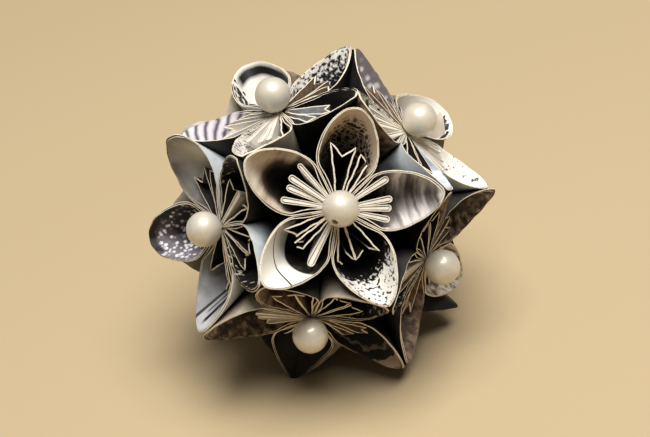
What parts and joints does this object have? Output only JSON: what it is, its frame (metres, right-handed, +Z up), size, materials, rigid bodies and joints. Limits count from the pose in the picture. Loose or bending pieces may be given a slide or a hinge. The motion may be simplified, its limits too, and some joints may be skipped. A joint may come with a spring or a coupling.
{
  "type": "kusudama paper ball",
  "caption": "Ball of folded paper flowers glued point to point, with a round pearl bead at the middle of each flower; a hand-made ornament that rests on a table.",
  "frame": {"origin": "on the ground under the middle of the ball, as it rests on one bead and the rims of two petals of that bead's flower, beside their tips", "axes": "+Z up as it rests; +Y along a two-fold axis of the flower arrangement, away from the side that the picture shows; +X to the right, with the bead it stands on at the +X side of the origin"},
  "size_m": [0.0782, 0.0736, 0.0703],
  "materials": {
    "printed_paper": "matte printed page paper with cream cut edges",
    "pearl": "pearl lacquer"
  },
  "bodies": {
    "root": {"flower_01": "printed_paper", "flower_02": "printed_paper", "flower_03": "printed_paper", "flower_04": "printed_paper", "flower_05": "printed_paper", "flower_06": "printed_paper", "flower_07": "printed_paper", "flower_08": "printed_paper", "flower_09": "printed_paper", "flower_10": "printed_paper", "flower_11": "printed_paper", "flower_12": "printed_paper", "bead_01": "pearl", "bead_02": "pearl", "bead_03": "pearl", "bead_04": "pearl", "bead_05": "pearl", "bead_06": "pearl", "bead_07": "pearl", "bead_08": "pearl", "bead_09": "pearl", "bead_10": "pearl", "bead_11": "pearl", "bead_12": "pearl"}
  },
  "joints": []
}
